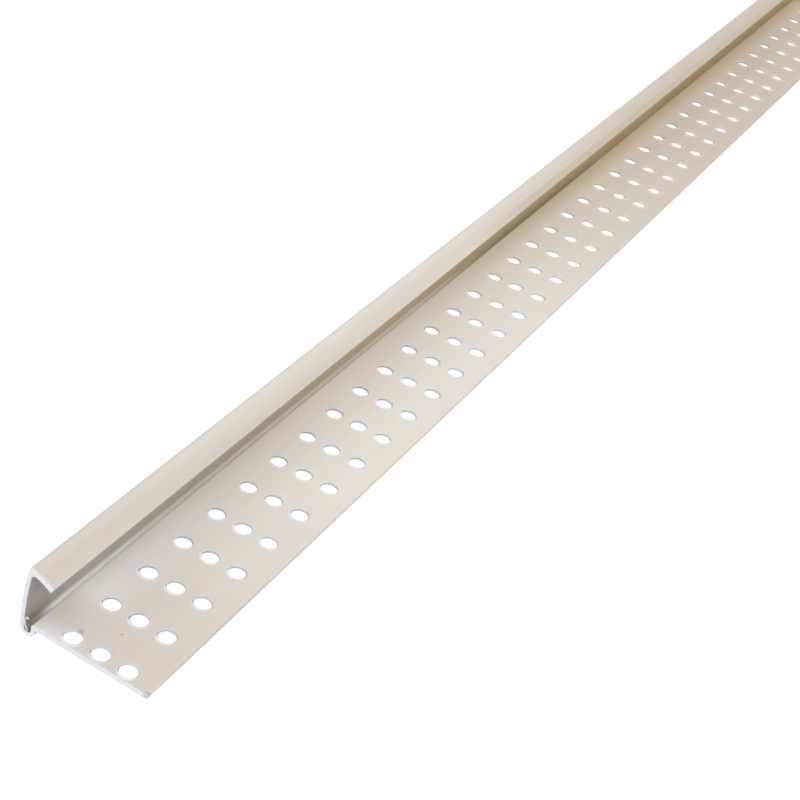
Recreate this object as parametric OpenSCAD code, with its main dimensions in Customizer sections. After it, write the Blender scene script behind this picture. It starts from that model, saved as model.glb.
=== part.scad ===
// Perforated vinyl J-trim: one extruded strip with a nailing flange, a rounded nose, a web and a back leg.
// X runs along the stick, Y across it from the free edge to the web, and Z = 0 is the bottom of the nose.

/* [Stock] */
// Length of the stick, ten feet as sold
stock_len = 3048; // [60:1:3658]
// Overall width, from the free edge of the flange to the outside of the web
trim_w = 32.8; // [31:0.1:60]

/* [Walls] */
// Thickness of the flange
flange_t = 0.9; // [0.7:0.05:1.4]
// Thickness of the web, the back leg and the wall round the nose
wall_t = 1.0; // [0.7:0.05:1.4]

/* [Nose] */
// Outside diameter of the rounded nose
nose_d = 3.9; // [3.4:0.1:5.4]
// Drop from the underside of the flange to the middle of the nose
nose_drop = 0.6; // [0.05:0.05:1]

/* [Web and back leg] */
// Rise of the web's middle line, from the middle of the nose to the top corner
web_rise = 16.6; // [10:0.1:25]
// Radius of the web's inward bow, seen from the end
web_bow_r = 86; // [50:1:140]
// Length of the back leg along its curve
leg_len = 6.0; // [3:0.1:9]
// Radius of the back leg's curve
leg_bow_r = 24; // [14:0.5:60]
// Downward slope of the back leg where it leaves the web, degrees
leg_slope = 17; // [0:1:30]
// Reach of the thickening inside the top corner, along the web and along the back leg
corner_fill = 2.2; // [1.2:0.1:2.8]

/* [Holes] */
// Diameter of a punched hole
hole_d = 4.2; // [2:0.1:5.4]
// Spacing of the holes along the stick
hole_pitch = 12.7; // [8:0.1:25.4]
// Number of rows of holes
hole_rows = 3; // [1:1:3]
// Spacing of the rows across the flange
row_pitch = 7.25; // [6.2:0.05:7.6]
// Distance from the free edge to the outer row
edge_margin = 6.95; // [3.4:0.05:7.6]
// Distance from the cut end to the first hole of each row
end_margin = 2.9; // [2.9:0.1:12]

/* [Hidden] */
// Sides of a small circle and of a large one
small_fn = 48;
large_fn = 720;
// Overrun of a punch past both faces of the flange
punch_over = 0.5;

nose_r = nose_d / 2;
groove_r = nose_r - wall_t;
web_y = trim_w / 2;
free_edge_y = -trim_w / 2;
nose_y = web_y - nose_r;
nose_z = nose_r;
flange_z = nose_z + nose_drop;
flange_root_y = nose_y - groove_r;

// The web's arc starts upright beside the nose and leans in over the flange
web_arc_y = web_y - web_bow_r;
web_mid_r = web_bow_r - wall_t / 2;
web_sweep = asin(web_rise / web_mid_r);
corner = [web_arc_y + web_mid_r * cos(web_sweep), nose_z + web_rise];

// The back leg's arc starts at the top corner and curves down towards the flange
leg_sweep = leg_len / leg_bow_r * 180 / PI;
leg_arc = corner + leg_bow_r * [sin(leg_slope), -cos(leg_slope)];
leg_root_angle = 90 + leg_slope;
leg_tip_angle = leg_root_angle + leg_sweep;

// The walls' outer faces are mitred at the corner, where they meet this far past its middle
corner_turn = web_sweep - leg_slope;
mitre = (1 - sin(corner_turn)) / cos(corner_turn);

hole_columns = 1 + floor((stock_len - 2 * end_margin) / hole_pitch);
first_hole_x = end_margin - stock_len / 2;
outer_row_y = free_edge_y + edge_margin;

// A point on an arc, from its middle, radius and angle
function on_arc(middle, radius, angle) = middle + radius * [cos(angle), sin(angle)];

// A strip of the wall's thickness bent round an arc
module bent_strip(mid_r, from, to) {
    reach = 2 * (mid_r + wall_t);
    intersection() {
        difference() {
            circle(r = mid_r + wall_t / 2, $fn = large_fn);
            circle(r = mid_r - wall_t / 2, $fn = large_fn);
        }
        polygon([[0, 0], on_arc([0, 0], reach, from), on_arc([0, 0], reach, to)]);
    }
}

// The U-shaped bead under the flange, with the short wall that joins them
module nose_section() {
    translate([nose_y, nose_z]) {
        difference() {
            circle(r = nose_r, $fn = small_fn);
            circle(r = groove_r, $fn = small_fn);
            translate([-nose_d, 0]) square([2 * nose_d, nose_d]);
        }
    }
    translate([nose_y - nose_r, nose_z]) square([wall_t, nose_drop + flange_t]);
}

module flange_section() {
    translate([free_edge_y, flange_z]) square([flange_root_y - free_edge_y, flange_t]);
}

module web_section() {
    translate([web_arc_y, nose_z]) bent_strip(web_mid_r, 0, web_sweep);
}

module leg_section() {
    translate(leg_arc) bent_strip(leg_bow_r, leg_root_angle, leg_tip_angle);
}

// The mitred outer corner and the thickening inside it
module corner_section() {
    web_outward = [cos(web_sweep), sin(web_sweep)];
    web_upward = [-sin(web_sweep), cos(web_sweep)];
    leg_fill = leg_root_angle + corner_fill / leg_bow_r * 180 / PI;
    web_fill = web_sweep - corner_fill / web_mid_r * 180 / PI;
    polygon([
        corner + wall_t / 2 * web_outward,
        corner + wall_t / 2 * (web_outward + mitre * web_upward),
        on_arc(leg_arc, leg_bow_r + wall_t / 2, leg_root_angle),
        on_arc(leg_arc, leg_bow_r, leg_fill),
        on_arc([web_arc_y, nose_z], web_mid_r, web_fill)
    ]);
}

module section() {
    nose_section();
    flange_section();
    web_section();
    leg_section();
    corner_section();
}

// Straight rows of round holes, punched square through the flange
module punched_holes() {
    for (column = [0 : hole_columns - 1], row = [0 : hole_rows - 1])
        translate([first_hole_x + column * hole_pitch, outer_row_y + row * row_pitch, flange_z - punch_over])
            cylinder(d = hole_d, h = flange_t + 2 * punch_over, $fn = small_fn);
}

module j_trim() {
    color([0.85, 0.82, 0.78]) difference() {
        translate([-stock_len / 2, 0, 0]) rotate([90, 0, 90]) linear_extrude(stock_len) section();
        punched_holes();
    }
}

j_trim();
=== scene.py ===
"""The looks of a perforated vinyl J-trim: one extruded stick with punched holes, on a white table.

Lengths are in millimetres, and become metres where a mesh or the camera is made. X runs along the
stick, Y across it from the free edge to the web, and Z up from the bottom of the nose.
"""

import math
import random
from types import SimpleNamespace

import bmesh
import bpy
from mathutils import Matrix, Vector


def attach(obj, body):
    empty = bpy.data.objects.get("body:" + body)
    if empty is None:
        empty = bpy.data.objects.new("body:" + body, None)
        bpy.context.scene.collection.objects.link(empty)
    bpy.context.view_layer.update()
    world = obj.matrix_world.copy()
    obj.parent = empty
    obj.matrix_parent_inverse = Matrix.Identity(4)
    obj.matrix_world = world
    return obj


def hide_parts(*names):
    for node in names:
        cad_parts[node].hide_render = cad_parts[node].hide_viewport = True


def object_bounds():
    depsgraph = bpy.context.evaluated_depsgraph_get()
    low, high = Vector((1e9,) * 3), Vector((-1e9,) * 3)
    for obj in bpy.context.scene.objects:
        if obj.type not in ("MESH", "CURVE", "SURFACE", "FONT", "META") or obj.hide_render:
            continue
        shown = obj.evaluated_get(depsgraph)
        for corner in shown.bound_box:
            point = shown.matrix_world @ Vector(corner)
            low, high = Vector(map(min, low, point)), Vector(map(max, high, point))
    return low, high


MM = 0.001

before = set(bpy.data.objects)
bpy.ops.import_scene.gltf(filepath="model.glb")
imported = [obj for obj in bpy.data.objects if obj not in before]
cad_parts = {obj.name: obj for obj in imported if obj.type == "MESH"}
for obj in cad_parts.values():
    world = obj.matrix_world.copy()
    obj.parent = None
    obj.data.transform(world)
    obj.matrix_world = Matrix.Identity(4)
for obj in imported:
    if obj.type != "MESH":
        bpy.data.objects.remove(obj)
cad_low, cad_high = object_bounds()

# Ends and sides of the stick, from the frame
NEAR_X = cad_low.x / MM
FAR_X = cad_high.x / MM
FREE_Y = cad_low.y / MM
WEB_Y = cad_high.y / MM

# Sizes of the section, as in the solid
FLANGE_T = 0.9
WALL_T = 1.0
NOSE_R = 1.95
NOSE_DROP = 0.6
WEB_RISE = 16.6
WEB_BOW_R = 86.0
LEG_LEN = 6.0
LEG_BOW_R = 24.0
LEG_SLOPE = math.radians(17.0)

# The grid of holes, as in the solid
HOLE_R = 2.1
HOLE_PITCH = 12.7
HOLE_ROWS = 3
ROW_PITCH = 7.25
EDGE_MARGIN = 6.95
END_MARGIN = 2.9

# Radii that only the scene has: the flange's edges, the corner, the leg's tip, the ends and the rims
FREE_ROUND = 0.12
ROOT_ROUND = 0.2
UNDER_FILLET = 0.25
APEX_ROUND = 0.4
INNER_FILLET = 1.1
TIP_ROUND = 0.34
END_ROUND = 0.1
RIM_ROUND = 0.06
LOWER_RIM_ROUND = 0.1

# Edges that turn by more than this stay sharp
SHARP_ANGLE = math.radians(38)

# The slightly slanting punch: the seed and the size of its scatter, how far it sets a hole over and
# draws it in along the stick, how far it sets the lower rim over along X and Y, and how much it widens it
PUNCH_SEED = 5
PUNCH_PLAY = 0.08
PUNCH_SHIFT = 0.2
PUNCH_SQUEEZE = 0.2
PUNCH_LEAN = (0.2, 0.24)
PUNCH_SPLAY = 0.02

# The skin that the punch dragged down: its width, its depth, the side of the hole it lies on, how fast it
# fades round the rim, the least strength it has, and its share in the first column
DRAG_W = 1.0
DRAG_DEPTH = 0.22
DRAG_SIDE = math.radians(190)
DRAG_FADE = 1.5
DRAG_LEAST = 0.5
DRAG_FIRST = 0.3

# Columns of holes that get fine rims, counted from the near end, and the sides of a fine and a plain rim
FINE_COLUMNS = 40
FINE_SIDES = 32
PLAIN_SIDES = 20

# Columns of holes between the rings of the swept outline
SWEEP_COLUMNS = 10

# Least distance from a rim to the rounded edge of an end
RIM_CLEARANCE = 0.05

GROOVE_R = NOSE_R - WALL_T
NOSE_Y = WEB_Y - NOSE_R
NOSE_Z = NOSE_R
FLANGE_Z = NOSE_Z + NOSE_DROP
FLANGE_TOP = FLANGE_Z + FLANGE_T
ROOT_Y = NOSE_Y - GROOVE_R
HOLE_COLUMNS = 1 + math.floor((FAR_X - NEAR_X - 2 * END_MARGIN) / HOLE_PITCH + 1e-6)
FIRST_X = NEAR_X + END_MARGIN
OUTER_ROW_Y = FREE_Y + EDGE_MARGIN


# The section's outline, as points (y, z)

def on_arc(centre, radius, angle):
    return (centre[0] + radius * math.cos(angle), centre[1] + radius * math.sin(angle))


def arc(centre, radius, start, end, steps):
    """Points along an arc, both ends included."""
    return [on_arc(centre, radius, start + (end - start) * i / steps) for i in range(steps + 1)]


def angle_to(centre, point):
    return math.atan2(point[1] - centre[1], point[0] - centre[0])


def circles_meet(one, one_r, other, other_r, near):
    """The point that lies on both circles, on the side of near."""
    gap = math.dist(one, other)
    along = (gap ** 2 + one_r ** 2 - other_r ** 2) / (2 * gap)
    across = math.sqrt(one_r ** 2 - along ** 2)
    way = ((other[0] - one[0]) / gap, (other[1] - one[1]) / gap)
    both = [
        (one[0] + along * way[0] - s * across * way[1], one[1] + along * way[1] + s * across * way[0])
        for s in (-1, 1)
    ]
    return min(both, key=lambda point: math.dist(point, near))


def free_edge_outline():
    """Round the free edge of the flange, from its top face to its underside."""
    y = FREE_Y + FREE_ROUND
    top = arc((y, FLANGE_TOP - FREE_ROUND), FREE_ROUND, math.pi / 2, math.pi, steps=3)
    low = arc((y, FLANGE_Z + FREE_ROUND), FREE_ROUND, math.pi, 3 * math.pi / 2, steps=3)
    return top + low


def channel_outline():
    """From the flange's underside round the nose, the web and the back leg, and back to its top face."""
    web_middle = (WEB_Y - WEB_BOW_R, NOSE_Z)
    web_mid_r = WEB_BOW_R - WALL_T / 2
    web_sweep = math.asin(WEB_RISE / web_mid_r)
    corner = on_arc(web_middle, web_mid_r, web_sweep)
    leg_middle = (corner[0] + LEG_BOW_R * math.sin(LEG_SLOPE), corner[1] - LEG_BOW_R * math.cos(LEG_SLOPE))
    tip = math.pi / 2 + LEG_SLOPE + LEG_LEN / LEG_BOW_R
    web_out, web_in = WEB_BOW_R, WEB_BOW_R - WALL_T
    leg_out, leg_in = LEG_BOW_R + WALL_T / 2, LEG_BOW_R - WALL_T / 2
    nose = (NOSE_Y, NOSE_Z)

    under = (NOSE_Y - NOSE_R - UNDER_FILLET, FLANGE_Z - UNDER_FILLET)
    points = arc(under, UNDER_FILLET, math.pi / 2, 0, steps=3)
    points += arc(nose, NOSE_R, math.pi, 2 * math.pi, steps=21)

    apex = circles_meet(web_middle, web_out - APEX_ROUND, leg_middle, leg_out - APEX_ROUND, corner)
    from_web, from_leg = angle_to(web_middle, apex), angle_to(leg_middle, apex)
    points += arc(web_middle, web_out, 0, from_web, steps=12)[1:]
    points += arc(apex, APEX_ROUND, from_web, from_leg, steps=6)[1:]

    outer_turn = tip - math.asin(TIP_ROUND / (leg_out - TIP_ROUND))
    inner_turn = tip - math.asin(TIP_ROUND / (leg_in + TIP_ROUND))
    points += arc(leg_middle, leg_out, from_leg, outer_turn, steps=8)[1:]
    tip_top = on_arc(leg_middle, leg_out - TIP_ROUND, outer_turn)
    tip_low = on_arc(leg_middle, leg_in + TIP_ROUND, inner_turn)
    points += arc(tip_top, TIP_ROUND, outer_turn, tip + math.pi / 2, steps=5)[1:]
    points += arc(tip_low, TIP_ROUND, tip + math.pi / 2, inner_turn + math.pi, steps=5)

    fillet = circles_meet(web_middle, web_in - INNER_FILLET, leg_middle, leg_in - INNER_FILLET, corner)
    web_end, leg_end = angle_to(web_middle, fillet), angle_to(leg_middle, fillet)
    points += arc(leg_middle, leg_in, inner_turn, leg_end, steps=8)[1:]
    points += arc(fillet, INNER_FILLET, leg_end, web_end, steps=6)[1:]
    points += arc(web_middle, web_in, web_end, 0, steps=12)[1:]

    points += arc(nose, GROOVE_R, 0, -math.pi, steps=16)[1:]
    root = (ROOT_Y - ROOT_ROUND, FLANGE_TOP - ROOT_ROUND)
    points += arc(root, ROOT_ROUND, 0, math.pi / 2, steps=4)
    return points


# The stick's mesh

class Shell:
    """Corners and faces of a mesh, in millimetres. The fresh faces are those that a tool cut."""

    def __init__(self):
        self.points = []
        self.faces = []
        self.fresh = []

    def add(self, x, y, z):
        self.points.append((x, y, z))
        return len(self.points) - 1

    def face(self, corners, fresh=False):
        self.faces.append(corners)
        self.fresh.append(fresh)

    def band(self, one, other, fresh=False, closed=False):
        """Quads between two rows of corners."""
        steps = len(one) if closed else len(one) - 1
        for i in range(steps):
            j = (i + 1) % len(one)
            self.face((one[i], one[j], other[j], other[i]), fresh)


def column_edges():
    """Where the flange is divided between columns of holes, along X."""
    inner = [FIRST_X + (k - 0.5) * HOLE_PITCH for k in range(1, HOLE_COLUMNS)]
    return [NEAR_X + END_ROUND, *inner, FAR_X - END_ROUND]


def rim_rings(fine, drag, sides):
    """A hole's wall from the top down, and how many of its bands are rolled over by the punch.

    The wall comes in rings of (distance outside the bore, z), with one pair for each side of the rim.
    """
    turns = 4 if fine else 2
    rings = []
    angles = [2 * math.pi * i / sides - DRAG_SIDE for i in range(sides)]
    pulls = [max(0, math.cos(a)) ** DRAG_FADE * drag for a in angles]
    for turn in range(turns + 1):
        a = math.pi / 2 * turn / turns
        rings.append([
            (
                (RIM_ROUND + pull * DRAG_W) * (1 - math.sin(a)),
                FLANGE_TOP - (RIM_ROUND + pull * DRAG_DEPTH) * (1 - math.cos(a)),
            )
            for pull in pulls
        ])
    if not fine:
        return rings + [[(0, FLANGE_Z)] * sides], turns
    for turn in range(3):
        a = math.pi / 4 * turn
        low = (LOWER_RIM_ROUND * (1 - math.cos(a)), FLANGE_Z + LOWER_RIM_ROUND * (1 - math.sin(a)))
        rings.append([low] * sides)
    return rings, turns


def punch(shell, x, y, fine, drag, top_corners, low_corners, draw):
    """One hole in its rectangle of flange. The corners go anticlockwise from the lower left."""
    sides = FINE_SIDES if fine else PLAIN_SIDES
    x += PUNCH_SHIFT + draw.uniform(-PUNCH_PLAY, PUNCH_PLAY)
    y += draw.uniform(-PUNCH_PLAY, PUNCH_PLAY)
    lean_x = PUNCH_LEAN[0] + draw.uniform(-PUNCH_PLAY, PUNCH_PLAY)
    lean_y = PUNCH_LEAN[1] + draw.uniform(-PUNCH_PLAY, PUNCH_PLAY)
    shape, rolled = rim_rings(fine, drag * draw.uniform(DRAG_LEAST, 1.0), sides)
    rings = []
    for outline in shape:
        ring = []
        for i, (out, z) in enumerate(outline):
            depth = (FLANGE_TOP - z) / FLANGE_T
            middle = (x + depth * lean_x, y + depth * lean_y)
            radius = HOLE_R + out + depth * PUNCH_SPLAY
            ring.append(shell.add(*rim_point(middle, radius, 2 * math.pi * i / sides), z))
        rings.append(ring)
    for step, (above, below) in enumerate(zip(rings, rings[1:])):
        shell.band(above, below, fresh=step >= rolled, closed=True)
    quarter = sides // 4
    for ring, corners in ((rings[0], top_corners), (rings[-1], low_corners)):
        for q in range(4):
            outside = corners[(q + 2) % 4]
            before = corners[(q + 1) % 4]
            for i in range(q * quarter, (q + 1) * quarter):
                shell.face((ring[i], ring[(i + 1) % sides], outside))
            shell.face((ring[q * quarter], outside, before))


def rim_point(middle, radius, angle):
    """A point of a hole's rim, kept off the rounded edge of the stick's ends."""
    room = END_ROUND + RIM_CLEARANCE
    x = middle[0] + (radius - PUNCH_SQUEEZE) * math.cos(angle)
    return (min(max(x, NEAR_X + room), FAR_X - room), middle[1] + radius * math.sin(angle))


def build_stick():
    """One closed mesh: the swept outline, the punched flange and the two cut ends."""
    shell = Shell()
    draw = random.Random(PUNCH_SEED)
    edges = column_edges()
    lines = [OUTER_ROW_Y + (r - 0.5) * ROW_PITCH for r in range(HOLE_ROWS + 1)]
    free_edge, channel = free_edge_outline(), channel_outline()
    top = [[shell.add(x, y, FLANGE_TOP) for y in lines] for x in edges]
    low = [[shell.add(x, y, FLANGE_Z) for y in lines] for x in edges]

    for k in range(HOLE_COLUMNS):
        for r in range(HOLE_ROWS):
            sheets = [(s[k][r], s[k + 1][r], s[k + 1][r + 1], s[k][r + 1]) for s in (top, low)]
            punch(
                shell,
                FIRST_X + k * HOLE_PITCH,
                OUTER_ROW_Y + r * ROW_PITCH,
                k < FINE_COLUMNS,
                1.0 if k else DRAG_FIRST,
                *sheets,
                draw,
            )

    stops = list(range(0, HOLE_COLUMNS, SWEEP_COLUMNS)) + [HOLE_COLUMNS]
    rings = [
        (
            [shell.add(edges[j], y, z) for y, z in free_edge],
            [shell.add(edges[j], y, z) for y, z in channel],
        )
        for j in stops
    ]
    for (j, here), (k, there) in zip(zip(stops, rings), list(zip(stops, rings))[1:]):
        for one, other in zip(here, there):
            shell.band(one, other)
        run = range(j, k + 1)
        shell.face((here[0][0], there[0][0], *[top[i][0] for i in reversed(run)]))
        shell.face((here[0][-1], there[0][-1], *[low[i][0] for i in reversed(run)]))
        shell.face((here[1][-1], there[1][-1], *[top[i][-1] for i in reversed(run)]))
        shell.face((here[1][0], there[1][0], *[low[i][-1] for i in reversed(run)]))

    for j, (edge, rest), way in ((0, rings[0], -1), (HOLE_COLUMNS, rings[-1], 1)):
        ring = edge + low[j] + rest + top[j][::-1]
        cut_end(shell, ring, way)
    return shell


def cut_end(shell, ring, way):
    """A rounded edge and a flat face across the section, facing along X in direction way."""
    flat = [shell.points[i][1:] for i in ring]
    count = len(flat)
    tangents = []
    for i in range(count):
        y0, z0 = flat[i - 1]
        y1, z1 = flat[(i + 1) % count]
        length = math.hypot(y1 - y0, z1 - z0)
        tangents.append(((y1 - y0) / length, (z1 - z0) / length))
    before = ring
    for turn in (45, 90):
        a = math.radians(turn)
        out = END_ROUND * math.sin(a)
        back = END_ROUND * (1 - math.cos(a))
        x = shell.points[ring[0]][0] + way * out
        now = [
            shell.add(x, y - back * tz, z + back * ty)
            for (y, z), (ty, tz) in zip(flat, tangents)
        ]
        shell.band(before, now, fresh=True, closed=True)
        before = now
    shell.face(tuple(before), fresh=True)


# The curl of swarf that the cut left in the groove's near end

# Points (y, z) along it, from its free tip down into the groove, and the steps between two of them
CURL_PATH = [
    (14.3, 4.6),
    (14.5, 4.85),
    (14.95, 4.8),
    (15.2, 4.3),
    (15.22, 3.4),
    (15.12, 2.5),
    (14.8, 1.8),
    (14.4, 1.4),
]
CURL_STEPS = 5

# Its thickness, its width, and its distance from the end
CURL_T = 0.2
CURL_W = 0.4
CURL_INSET = 0.03


def smooth_path(points, steps):
    """A Catmull-Rom curve through the points."""
    padded = [points[0], *points, points[-1]]
    path = []
    for a, b, c, d in zip(padded, padded[1:], padded[2:], padded[3:]):
        for i in range(steps):
            t = i / steps
            path.append(tuple(
                0.5 * (2 * q + (r - p) * t + (2 * p - 5 * q + 4 * r - s) * t ** 2
                       + (3 * q - p - 3 * r + s) * t ** 3)
                for p, q, r, s in zip(a, b, c, d)
            ))
    return path + [points[-1]]


def swell(least, share):
    """From least where share is 0, up to 1 where it is a half, and back."""
    return least + (1 - least) * math.sin(math.pi * share)


def build_curl():
    """A thin ribbon that stands on edge along the path, and thins out towards both ends."""
    shell = Shell()
    path = smooth_path(CURL_PATH, CURL_STEPS)
    last = len(path) - 1
    rows = []
    for i, (y, z) in enumerate(path):
        y0, z0 = path[max(i - 1, 0)]
        y1, z1 = path[min(i + 1, last)]
        length = math.hypot(y1 - y0, z1 - z0)
        half = CURL_T / 2 * swell(0.45, 0.12 + 0.76 * i / last)
        side = (-(z1 - z0) / length * half, (y1 - y0) / length * half)
        width = CURL_W * swell(0.7, i / last)
        rows.append([
            shell.add(NEAR_X + x, y + s * side[0], z + s * side[1])
            for x, s in ((CURL_INSET, -1), (width, -1), (width, 1), (CURL_INSET, 1))
        ])
    for one, other in zip(rows, rows[1:]):
        shell.band(one, other, fresh=True, closed=True)
    shell.face(tuple(rows[0]), fresh=True)
    shell.face(tuple(rows[-1]), fresh=True)
    return shell


def make_piece(name, shell, materials):
    """A mesh object from a shell, with its fresh cut faces on the second material."""
    mesh = bpy.data.meshes.new(name)
    mesh.from_pydata([tuple(MM * v for v in p) for p in shell.points], [], shell.faces)
    for material in materials:
        mesh.materials.append(material)
    mesh.polygons.foreach_set("material_index", [int(fresh) for fresh in shell.fresh])
    work = bmesh.new()
    work.from_mesh(mesh)
    bmesh.ops.recalc_face_normals(work, faces=work.faces)
    work.to_mesh(mesh)
    work.free()
    mesh.shade_smooth()
    mesh.set_sharp_from_angle(angle=SHARP_ANGLE)
    piece = bpy.data.objects.new(name, mesh)
    bpy.context.scene.collection.objects.link(piece)
    weigh = piece.modifiers.new("even_normals", "WEIGHTED_NORMAL")
    weigh.keep_sharp = True
    weigh.weight = 100
    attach(piece, "root")
    return piece


# Materials

# Height of the fine relief that the materials draw, at full strength
BUMP_DEPTH = 0.05


def srgb(red, green, blue):
    """A colour as it looks on screen, 0 to 255, as the linear colour that the nodes take."""
    def linear(value):
        v = value / 255
        return v / 12.92 if v <= 0.04045 else ((v + 0.055) / 1.055) ** 2.4
    return (linear(red), linear(green), linear(blue), 1.0)


class Nodes:
    """Short ways to add and join the nodes of one material."""

    def __init__(self, tree):
        self.tree = tree
        tree.nodes.clear()

    def add(self, kind, **settings):
        node = self.tree.nodes.new(kind)
        for key, value in settings.items():
            setattr(node, key, value)
        return node

    def put(self, socket, value):
        if isinstance(value, bpy.types.NodeSocket):
            self.tree.links.new(value, socket)
        else:
            socket.default_value = value

    def math(self, operation, one, two=0.0, three=0.0, clamp=False):
        node = self.add("ShaderNodeMath", operation=operation, use_clamp=clamp)
        for socket, value in zip(node.inputs, (one, two, three)):
            self.put(socket, value)
        return node.outputs[0]

    def times(self, first, *rest):
        """The product of all the factors."""
        product = first
        for factor in rest:
            product = self.math("MULTIPLY", product, factor)
        return product

    def ramp(self, value, start, end, low=0.0, high=1.0):
        """Smoothly from low to high as the value goes from start to end."""
        node = self.add("ShaderNodeMapRange", interpolation_type="SMOOTHSTEP")
        for socket, number in zip(node.inputs, (value, start, end, low, high)):
            self.put(socket, number)
        return node.outputs[0]

    def mix(self, factor, one, two):
        node = self.add("ShaderNodeMix", data_type="RGBA")
        self.put(node.inputs["Factor"], factor)
        self.put(node.inputs[6], one)
        self.put(node.inputs[7], two)
        return node.outputs[2]

    def tint(self, colour, tone, *masks):
        """The colour, turned towards a screen tone by the product of the masks."""
        return self.mix(self.times(*masks), colour, srgb(*tone))

    def noise(self, position, stretch, detail=2.0):
        """Noise whose grain along X, Y and Z is set by stretch, in grains for each millimetre."""
        scaled = self.add("ShaderNodeVectorMath", operation="MULTIPLY")
        self.put(scaled.inputs[0], position)
        scaled.inputs[1].default_value = stretch
        node = self.add("ShaderNodeTexNoise")
        self.put(node.inputs["Vector"], scaled.outputs[0])
        node.inputs["Scale"].default_value = 1.0
        node.inputs["Detail"].default_value = detail
        node.inputs["Roughness"].default_value = 0.5
        return node.outputs[0]

    def spot(self, position, point, radius):
        """A soft round spot, 1 out to 0.4 of its radius."""
        node = self.add("ShaderNodeVectorMath", operation="DISTANCE")
        self.put(node.inputs[0], position)
        node.inputs[1].default_value = point
        return self.ramp(node.outputs["Value"], radius, radius * 0.4)

    def bump(self, height, strength):
        """Fine relief from a height of 0 to 1."""
        node = self.add("ShaderNodeBump")
        node.inputs["Strength"].default_value = strength
        node.inputs["Distance"].default_value = BUMP_DEPTH * MM
        self.put(node.inputs["Height"], height)
        return node.outputs[0]


def new_material(name):
    material = bpy.data.materials.new(name)
    material.use_nodes = True
    return material, Nodes(material.node_tree)


def position_in_mm(n):
    """The point's place in the stick, in millimetres, as a vector and as x, y and z."""
    place = n.add("ShaderNodeTexCoord")
    scaled = n.add("ShaderNodeVectorMath", operation="SCALE")
    n.put(scaled.inputs[0], place.outputs["Object"])
    scaled.inputs["Scale"].default_value = 1 / MM
    parts = n.add("ShaderNodeSeparateXYZ")
    n.put(parts.inputs[0], scaled.outputs[0])
    return scaled.outputs[0], parts.outputs[0], parts.outputs[1], parts.outputs[2]


# How strongly vinyl bends light, and how far it lets red, green and blue spread inside it, as shares
VINYL_IOR = 1.5
VINYL_SPREAD = (1.0, 0.97, 0.94)


def finish_surface(n, colour, roughness, bump, glow, depth):
    """The shader that skin and cut faces share. Light spreads by depth millimetres inside the plastic."""
    shader = n.add("ShaderNodeBsdfPrincipled")
    n.put(shader.inputs["Base Color"], colour)
    n.put(shader.inputs["Roughness"], roughness)
    shader.inputs["IOR"].default_value = VINYL_IOR
    shader.inputs["Subsurface Weight"].default_value = glow
    shader.inputs["Subsurface Radius"].default_value = VINYL_SPREAD
    shader.inputs["Subsurface Scale"].default_value = depth * MM
    n.put(shader.inputs["Normal"], bump)
    out = n.add("ShaderNodeOutputMaterial")
    n.put(out.inputs["Surface"], shader.outputs[0])


# Specks and smudges of dirt, as the distance from the near end, y, z, radius and strength
SPECKS = [
    (10.15, -2.08, FLANGE_TOP, 0.3, 0.8),
    (5.26, -3.61, FLANGE_TOP, 0.25, 0.3),
    (0.4, -16.0, FLANGE_TOP, 1.1, 0.4),
    (0.0, 15.74, 9.4, 0.25, 0.7),
    (5.35, 4.8, FLANGE_TOP, 1.0, 0.3),
    (14.0, -9.0, FLANGE_TOP, 0.3, 0.25),
]


def specked(n, place, colour):
    """The colour with the specks on it."""
    for step, y, z, radius, strength in SPECKS:
        spot = n.spot(place, (NEAR_X + step, y, z), radius)
        colour = n.tint(colour, (116, 102, 88), spot, strength)
    return colour


# In the tones below, along is the distance from the near end, and the ramps over along, y and z run
# between two such places, in millimetres.

def skin_regions(n):
    """A point's place on the stick, and masks that are 1 on the parts of its section."""
    place, x, y, z = position_in_mm(n)
    along = n.math("SUBTRACT", x, NEAR_X)
    lower = n.math("SUBTRACT", 1, n.ramp(z, 4.0, 4.6))
    rise = n.math("SUBTRACT", z, NOSE_Z)

    # The channel's side of the web, whose bow is taken out, and of the nose
    unbowed = n.math("ADD", y, n.times(rise, rise, 0.5 / WEB_BOW_R))
    on_inside = n.ramp(unbowed, WEB_Y - 0.45, WEB_Y - 0.55)
    across = n.math("SUBTRACT", y, NOSE_Y)
    from_nose = n.math("SQRT", n.math("MULTIPLY_ADD", rise, rise, n.times(across, across)))
    in_groove = n.math("MAXIMUM", n.ramp(from_nose, GROOVE_R + 0.6, GROOVE_R + 0.4), n.ramp(z, 2.0, 2.4))
    in_channel = n.times(n.ramp(y, 13.2, 13.7), on_inside, in_groove)

    on_leg = n.times(n.ramp(z, 15.6, 16.4), n.ramp(y, 14.6, 14.3))
    on_flange = n.times(n.math("SUBTRACT", lower, in_channel, clamp=True), n.ramp(y, 13.9, 13.5))
    return SimpleNamespace(
        place=place, x=x, y=y, z=z, along=along,
        lower=lower, in_channel=in_channel, on_leg=on_leg, on_flange=on_flange,
    )


def base_tone(n, at, streak):
    """Blotches, faint lines of the die, a handled near end and a slow drift to tan."""
    blush = n.noise(at.place, (0.035, 0.07, 0.07), detail=3.0)
    colour = n.mix(n.ramp(blush, 0.35, 0.65), srgb(229, 221, 211), srgb(225, 219, 212))
    colour = n.tint(colour, (200, 192, 182), n.ramp(streak, 0.3, 0.7, 0.0, 0.08))
    colour = n.tint(colour, (208, 198, 189), n.ramp(at.along, 80, 0, 0.0, 0.5))
    mottle = n.noise(at.place, (0.1, 0.3, 0.3))
    colour = n.tint(colour, (226, 203, 188), n.ramp(mottle, 0.45, 0.65), n.ramp(at.along, 70, 5, 0.08, 0.3))
    drift = n.noise(at.place, (0.0035, 0, 0), detail=1.0)
    return n.tint(colour, (207, 190, 172), n.ramp(at.along, 130, 380), n.ramp(drift, 0.2, 0.8, 0.5, 1.0))


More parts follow.
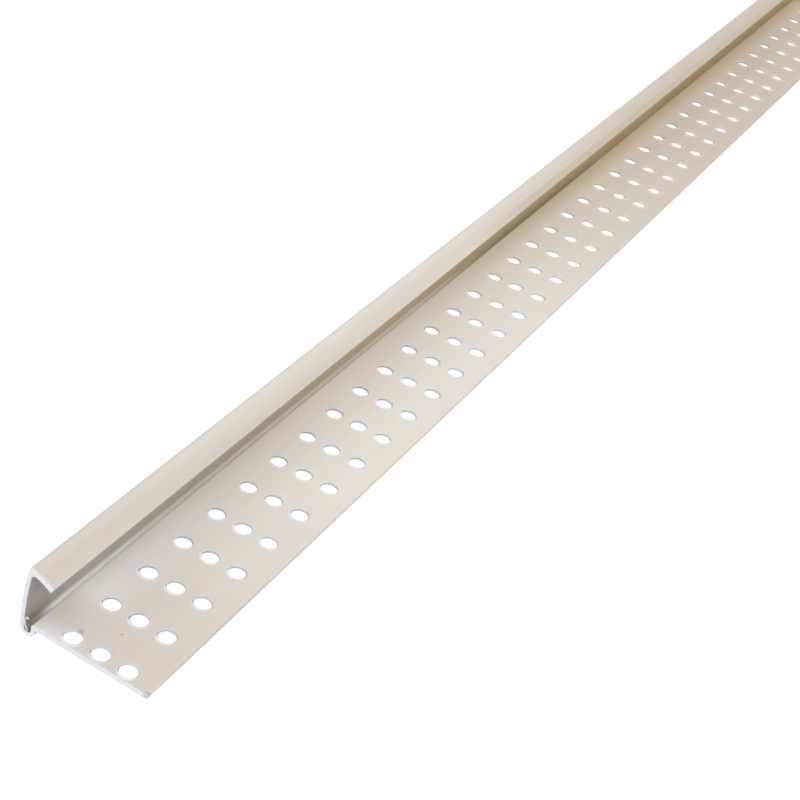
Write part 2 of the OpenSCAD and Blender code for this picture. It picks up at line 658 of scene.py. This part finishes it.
def leg_tone(n, at, colour):
    """The back leg: painted sheen, duller across its middle than by the apex and the tip, darker and
    yellower at its tip, with painted shade along the apex.
    """
    y, along = at.y, at.along
    # Painted sheen: the leg is duller across its middle than by the apex and the tip
    sides = n.times(n.ramp(y, 13.4, 11.4, 0.15, 1.0), n.ramp(y, 8.4, 10.4, 0.75, 1.0))
    colour = n.tint(colour, (198, 189, 179), at.on_leg, sides, 0.38)
    fade = n.times(n.ramp(along, 25, 60, 0.0, 0.45), n.ramp(along, 160, 90, 0.35, 1.0))
    colour = n.tint(colour, (198, 189, 176), at.on_leg, n.ramp(y, 11.0, 9.2), fade)
    # Yellow-brown towards the tip, partway along the stick
    tip_yellowing = n.times(n.ramp(y, 10.9, 10.1), n.ramp(along, 180, 225, 0.0, 0.5))
    colour = n.tint(colour, (186, 167, 134), at.on_leg, tip_yellowing)
    colour = n.tint(colour, (192, 176, 166), at.on_leg, n.ramp(along, 215, 320, 0.0, 0.3))
    # Painted shade along the apex
    return n.tint(colour, (192, 183, 172), n.ramp(at.z, 16, 17), n.ramp(y, 13.9, 14.3, 0.0, 0.35))


def channel_tone(n, at, colour):
    """The web's inside in painted shade, darkest at the very end and browner the farther along, partly
    yellowing, with a pale foot and groove near the end, painted light that comes through the thin nose.
    """
    along = at.along
    # Painted shade on the web's inside, darkest at the very end; its browner tones farther along are partly
    # painted shade and partly yellowing
    brown = n.mix(n.ramp(along, 6, 18), srgb(172, 165, 157), srgb(192, 186, 179))
    brown = n.tint(brown, (194, 185, 166), n.ramp(along, 25, 60))
    brown = n.tint(brown, (206, 188, 156), n.ramp(along, 60, 150))
    brown = n.tint(brown, (206, 182, 138), n.ramp(along, 130, 300))
    brown = n.tint(brown, (214, 200, 178), n.ramp(along, 520, 900))
    colour = n.mix(n.times(at.in_channel, n.ramp(at.z, 17.6, 16.2), 0.85), colour, brown)
    # Painted light on the foot and groove, which light reaches through the thin nose: pale near the end,
    # browner farther along
    foot = n.mix(n.ramp(along, 25, 60), srgb(252, 253, 255), srgb(240, 235, 228))
    foot = n.tint(foot, (238, 232, 223), n.ramp(along, 80, 150))
    foot = n.tint(foot, (180, 166, 134), n.ramp(along, 160, 225))
    foot = n.tint(foot, (204, 188, 150), n.ramp(along, 260, 320))
    foot = n.tint(foot, (214, 200, 178), n.ramp(along, 520, 900))
    low_part = n.times(at.in_channel, n.ramp(at.z, 3.1, 0.9))
    return n.mix(n.times(low_part, n.ramp(along, 3, 10, 0.15, 1.0)), colour, foot)


def flange_tone(n, at, colour):
    """The flange: painted light outside and by the web, cool painted light by the web near the end, painted
    shade near the web and in the crease, browner there farther along, and darker on its outer part far
    along.
    """
    y, along = at.y, at.along
    # Painted light: the outer part of the flange, which the web and leg hide less of the sky from, is paler
    pale = n.times(n.ramp(y, 3.0, -8.0, 0.0, 0.25), n.ramp(along, 15, 90), n.ramp(along, 250, 150))
    colour = n.tint(colour, (244, 238, 231), at.on_flange, pale)
    # Painted light by the web, cooler near the end, where light comes in from the cut end
    by_web = n.times(at.on_flange, n.ramp(y, -2.0, 12.5))
    colour = n.tint(colour, (240, 234, 226), by_web, n.ramp(along, 60, 130, 0.35, 0.6))
    colour = n.tint(colour, (234, 231, 229), by_web, n.ramp(along, 80, 25, 0.0, 0.85))
    # Painted shade near the web, darkest close to the end
    dim = n.times(n.ramp(y, 9.0, 13.0, 0.0, 0.3), n.ramp(along, 120, 80))
    colour = n.tint(colour, (205, 198, 192), at.on_flange, dim)
    colour = n.tint(colour, (199, 193, 190), by_web, n.ramp(along, 18, 8, 0.0, 0.75), n.ramp(along, 0, 6))
    # Browner painted shade near the web farther along
    tan = n.mix(n.ramp(along, 200, 320), srgb(209, 194, 173), srgb(208, 189, 160))
    warm = n.times(at.on_flange, n.ramp(y, 5.0, 14.0), n.ramp(along, 75, 300, 0.0, 0.9))
    colour = n.mix(warm, colour, tan)
    # Painted shade in the inner corner
    crease = n.times(n.ramp(y, 12.9, 13.4), n.ramp(y, 13.6, 13.5), at.lower)
    colour = n.tint(colour, (126, 118, 110), crease, 0.25)
    # Darker on the outer part far along
    far_outer_darkening = n.times(n.ramp(y, 9.0, 3.0), n.ramp(along, 190, 330, 0.0, 0.3))
    return n.tint(colour, (188, 175, 162), at.on_flange, far_outer_darkening)


def hole_marks(n, at, colour):
    """Round every hole: pale sides, partly whitened plastic and partly painted glow of light through it, a
    lip in painted shade, a brown rub, and here and there dirt.
    """
    column = n.math("ROUND", n.math("DIVIDE", n.math("SUBTRACT", at.x, FIRST_X), HOLE_PITCH))
    row = n.math("ROUND", n.math("DIVIDE", n.math("SUBTRACT", at.y, OUTER_ROW_Y), ROW_PITCH))
    row = n.math("MINIMUM", n.math("MAXIMUM", row, 0), HOLE_ROWS - 1)
    dx = n.math("SUBTRACT", at.x, n.math("MULTIPLY_ADD", column, HOLE_PITCH, FIRST_X))
    dx = n.times(dx, HOLE_R / (HOLE_R - PUNCH_SQUEEZE))
    dy = n.math("SUBTRACT", at.y, n.math("MULTIPLY_ADD", row, ROW_PITCH, OUTER_ROW_Y))
    far = n.math("SQRT", n.math("ADD", n.times(dx, dx), n.times(dy, dy)))
    way_x, way_y = n.math("DIVIDE", dx, far), n.math("DIVIDE", dy, far)

    cell = n.add("ShaderNodeCombineXYZ")
    n.put(cell.inputs[0], column)
    n.put(cell.inputs[1], row)
    chance = n.add("ShaderNodeTexWhiteNoise", noise_dimensions="2D")
    n.put(chance.inputs["Vector"], cell.outputs[0])
    parts = n.add("ShaderNodeSeparateColor")
    n.put(parts.inputs[0], chance.outputs["Color"])
    pale, brown, dirt = parts.outputs[:3]

    def rim_patch(towards, width, reach):
        """A soft patch beside the rim, on the side that lies towards an angle in degrees."""
        a = math.radians(towards)
        side = n.math("ADD", n.times(way_x, math.cos(a)), n.times(way_y, math.sin(a)))
        spread = n.ramp(side, math.cos(math.radians(width)), 1.0)
        return n.times(at.lower, spread, n.ramp(far, HOLE_R + reach, HOLE_R + reach / 2))

    along = at.along
    # Pale sides by the rims: partly whitened plastic and partly painted glow of light through the thin
    # plastic
    colour = n.tint(colour, (240, 244, 246), rim_patch(184, 100, 0.7), n.ramp(pale, 0, 1, 0.5, 1.0))
    colour = n.tint(colour, (232, 227, 220), rim_patch(222, 95, 1.1), n.ramp(along, 90, 220, 0.0, 0.8))
    # Painted shade on the steep near edge of the lip
    colour = n.tint(colour, (128, 116, 100), rim_patch(205, 90, 0.34), n.ramp(along, 110, 220, 0.0, 0.85))
    colour = n.tint(colour, (192, 160, 124), rim_patch(-60, 60, 0.45), n.ramp(brown, 0.2, 1, 0.1, 0.7))
    return n.tint(colour, (92, 84, 76), rim_patch(108, 20, 0.3), n.ramp(dirt, 0.5, 0.9, 0, 0.6))


def end_marks(n, at, colour):
    """A brown line along the free edge, painted shade in the groove's end, and a pale band beside the cuts,
    painted glow of light through the thin cut edge.
    """
    y, z, along = at.y, at.z, at.along
    rub = n.ramp(y, FREE_Y + 0.25, FREE_Y + 0.1, 0.0, 0.4)
    colour = n.tint(colour, (186, 160, 134), rub, n.ramp(along, 0, 14))
    # Painted shade in the channel's end and the groove
    colour = n.tint(colour, (144, 124, 98), at.in_channel, n.ramp(z, 9.0, 3.8), n.ramp(along, 9, 2), 0.25)
    colour = n.tint(colour, (128, 100, 66), at.in_channel, n.ramp(z, 4.4, 3.0), n.ramp(along, 8, 2), 0.25)
    # A pale band beside the cuts: painted glow of light through the thin cut edge
    ragged = n.noise(at.place, (0.6, 1.4, 1.4), detail=3.0)
    to_end = n.math("MINIMUM", along, n.math("SUBTRACT", FAR_X, at.x))
    cut_edge = n.ramp(n.math("ADD", to_end, n.times(ragged, 0.9)), 1.25, 0.5)
    outside = n.math("SUBTRACT", 1, n.times(at.in_channel, n.ramp(z, 17.6, 16.2)))
    return n.tint(colour, (244, 246, 249), cut_edge, outside, 0.65)


def vinyl_skin():
    """The extruded face: off-white, with faint lines along the stick, marks of the saw and the punch, and
    painted light and shade on the flange, the leg, the channel, round the holes and beside the cuts.
    """
    material, n = new_material("vinyl_skin")
    at = skin_regions(n)
    streak = n.noise(at.place, (0.002, 0.5, 0.5), detail=3.0)
    colour = base_tone(n, at, streak)
    colour = leg_tone(n, at, colour)
    colour = channel_tone(n, at, colour)
    colour = flange_tone(n, at, colour)
    colour = hole_marks(n, at, colour)
    colour = specked(n, at.place, colour)
    colour = end_marks(n, at, colour)
    lines = n.noise(at.place, (0.01, 3.5, 3.5), detail=3.0)
    roughness = n.ramp(streak, 0.3, 0.7, 0.42, 0.52)
    finish_surface(n, colour, roughness, n.bump(lines, 0.08), glow=0.3, depth=1.0)
    return material


def vinyl_cut(name, dark, light, edge):
    """A freshly cut face: matt, mottled between two tones, with a third one at the ends of the stick.

    The walls of the holes are bluer near an end of the stick, and lighter and warmer farther along, a
    painted glow of light through the thin plastic.
    """
    material, n = new_material(name)
    place, x, _, _ = position_in_mm(n)
    grain = n.noise(place, (2.0, 2.0, 2.0), detail=3.0)
    colour = n.mix(n.ramp(grain, 0.35, 0.65), srgb(*dark), srgb(*light))
    into = n.math("MINIMUM", n.math("SUBTRACT", x, NEAR_X), n.math("SUBTRACT", FAR_X, x))
    colour = n.tint(colour, edge, n.ramp(into, 0.4, 0.1))
    colour = n.tint(colour, (208, 221, 238), n.ramp(into, 0.7, 1.3, 0.0, 0.8))
    # Painted glow of light through the thin plastic on the walls of the holes farther along
    colour = n.tint(colour, (255, 251, 242), n.ramp(into, 90, 240, 0.0, 0.85))
    colour = specked(n, place, colour)
    finish_surface(n, colour, 0.6, n.bump(grain, 0.3), glow=0.5, depth=0.6)
    return material


# Studio

# The floor's reach from the middle in metres, the share of light that it gives back to the stick, and
# how white the camera sees it
FLOOR_REACH = 20.0
FLOOR_GREY = 0.86
FLOOR_WHITE = 1.09

# Share of the floor's brightness that shadows can take away from it, as the camera sees it
SHADOW_SHARE = 0.09

# Strength of the room's light from the horizon and from overhead, and the heights in the sky, up to 1,
# between which it grows
HORIZON = 0.2
ZENITH = 0.544
SKY_RISE = (0.05, 0.6)

# Distance of the lamps' markers in metres, which has no effect on the light of a sun
LAMP_DISTANCE = 3.0


def seen_directly(n):
    """1 for rays that show the surface straight or in a reflection, and 0 for light on its way."""
    path = n.add("ShaderNodeLightPath")
    both = n.math("MAXIMUM", path.outputs["Is Camera Ray"], path.outputs["Is Glossy Ray"])
    return n.math("MAXIMUM", both, path.outputs["Is Transmission Ray"])


def build_floor():
    """A wide white table, nearly even in brightness, that keeps a soft shadow of the stick."""
    mesh = bpy.data.meshes.new("floor")
    corners = [(FLOOR_REACH * x, FLOOR_REACH * y, 0) for x, y in ((-1, -1), (1, -1), (1, 1), (-1, 1))]
    mesh.from_pydata(corners, [], [(0, 1, 2, 3)])
    floor = bpy.data.objects.new("floor", mesh)
    bpy.context.scene.collection.objects.link(floor)
    material, n = new_material("white_table")
    paper = n.add("ShaderNodeBsdfDiffuse")
    paper.inputs["Color"].default_value = (FLOOR_GREY, FLOOR_GREY, FLOOR_GREY, 1.0)
    white = n.add("ShaderNodeEmission")
    white.inputs["Strength"].default_value = FLOOR_WHITE
    seen = n.add("ShaderNodeMixShader")
    seen.inputs["Fac"].default_value = SHADOW_SHARE
    n.put(seen.inputs[1], white.outputs[0])
    n.put(seen.inputs[2], paper.outputs[0])
    by_ray = n.add("ShaderNodeMixShader")
    n.put(by_ray.inputs["Fac"], seen_directly(n))
    n.put(by_ray.inputs[1], paper.outputs[0])
    n.put(by_ray.inputs[2], seen.outputs[0])
    out = n.add("ShaderNodeOutputMaterial")
    n.put(out.inputs["Surface"], by_ray.outputs[0])
    mesh.materials.append(material)


def build_world():
    """A white studio to look at, whose light comes mostly from overhead."""
    world = bpy.data.worlds.new("studio")
    bpy.context.scene.world = world
    world.use_nodes = True
    n = Nodes(world.node_tree)
    way = n.add("ShaderNodeTexCoord")
    parts = n.add("ShaderNodeSeparateXYZ")
    n.put(parts.inputs[0], way.outputs["Generated"])
    light = n.ramp(parts.outputs[2], *SKY_RISE, HORIZON, ZENITH)
    tent = n.add("ShaderNodeBackground")
    tent.inputs["Color"].default_value = (1.0, 1.0, 1.0, 1.0)
    n.put(tent.inputs["Strength"], n.math("MAXIMUM", light, seen_directly(n)))
    out = n.add("ShaderNodeOutputWorld")
    n.put(out.inputs["Surface"], tent.outputs[0])


def soft_sun(name, way, spread, strength):
    """An even light along the whole stick. way points from the stick towards it."""
    lamp = bpy.data.lights.new(name, "SUN")
    lamp.angle = math.radians(spread)
    lamp.energy = strength
    holder = bpy.data.objects.new(name, lamp)
    bpy.context.scene.collection.objects.link(holder)
    holder.location = Vector(way).normalized() * LAMP_DISTANCE
    holder.rotation_euler = Vector(way).to_track_quat("Z", "Y").to_euler()


def build_lamps():
    """A light that reaches in under the back leg, and one that faces the cut end and the holes' walls."""
    soft_sun("overhead", way=(-0.1, -0.61, 0.79), spread=25, strength=1.25)
    soft_sun("end", way=(-0.92, 0.04, 0.38), spread=30, strength=1.3)


# Camera: its place from the near end of the stick, and the way it looks

CAMERA_FROM_END = (-185.84, -133.24, 247.96)
HEADING = math.radians(67.264)
LOOK_DOWN = math.radians(36.276)
ROLL = math.radians(12.910)
LENS = 72.0


def build_camera():
    lens = bpy.data.cameras.new("camera")
    lens.lens = LENS
    lens.clip_start = 0.01
    lens.clip_end = 100
    camera = bpy.data.objects.new("camera", lens)
    bpy.context.scene.collection.objects.link(camera)
    ahead = Vector((
        math.sin(HEADING) * math.cos(LOOK_DOWN),
        math.cos(HEADING) * math.cos(LOOK_DOWN),
        -math.sin(LOOK_DOWN),
    ))
    level = ahead.cross(Vector((0, 0, 1))).normalized()
    right = level * math.cos(ROLL) + level.cross(ahead) * math.sin(ROLL)
    up = right.cross(ahead)
    turn = Matrix((right, up, -ahead)).transposed().to_4x4()
    x, y, z = CAMERA_FROM_END
    camera.matrix_world = Matrix.Translation(MM * Vector((NEAR_X + x, y, z))) @ turn
    bpy.context.scene.camera = camera


build_camera()
skin = vinyl_skin()
cut = vinyl_cut("vinyl_cut", dark=(243, 247, 251), light=(248, 250, 253), edge=(222, 227, 234))
swarf = vinyl_cut("vinyl_swarf", dark=(238, 231, 231), light=(243, 238, 238), edge=(224, 217, 218))
stick = make_piece("j_trim_stick", build_stick(), [skin, cut])
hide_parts("j_trim")
make_piece("swarf_curl", build_curl(), [skin, swarf])
build_floor()
build_world()
build_lamps()
bpy.context.scene.view_settings.view_transform = "Standard"
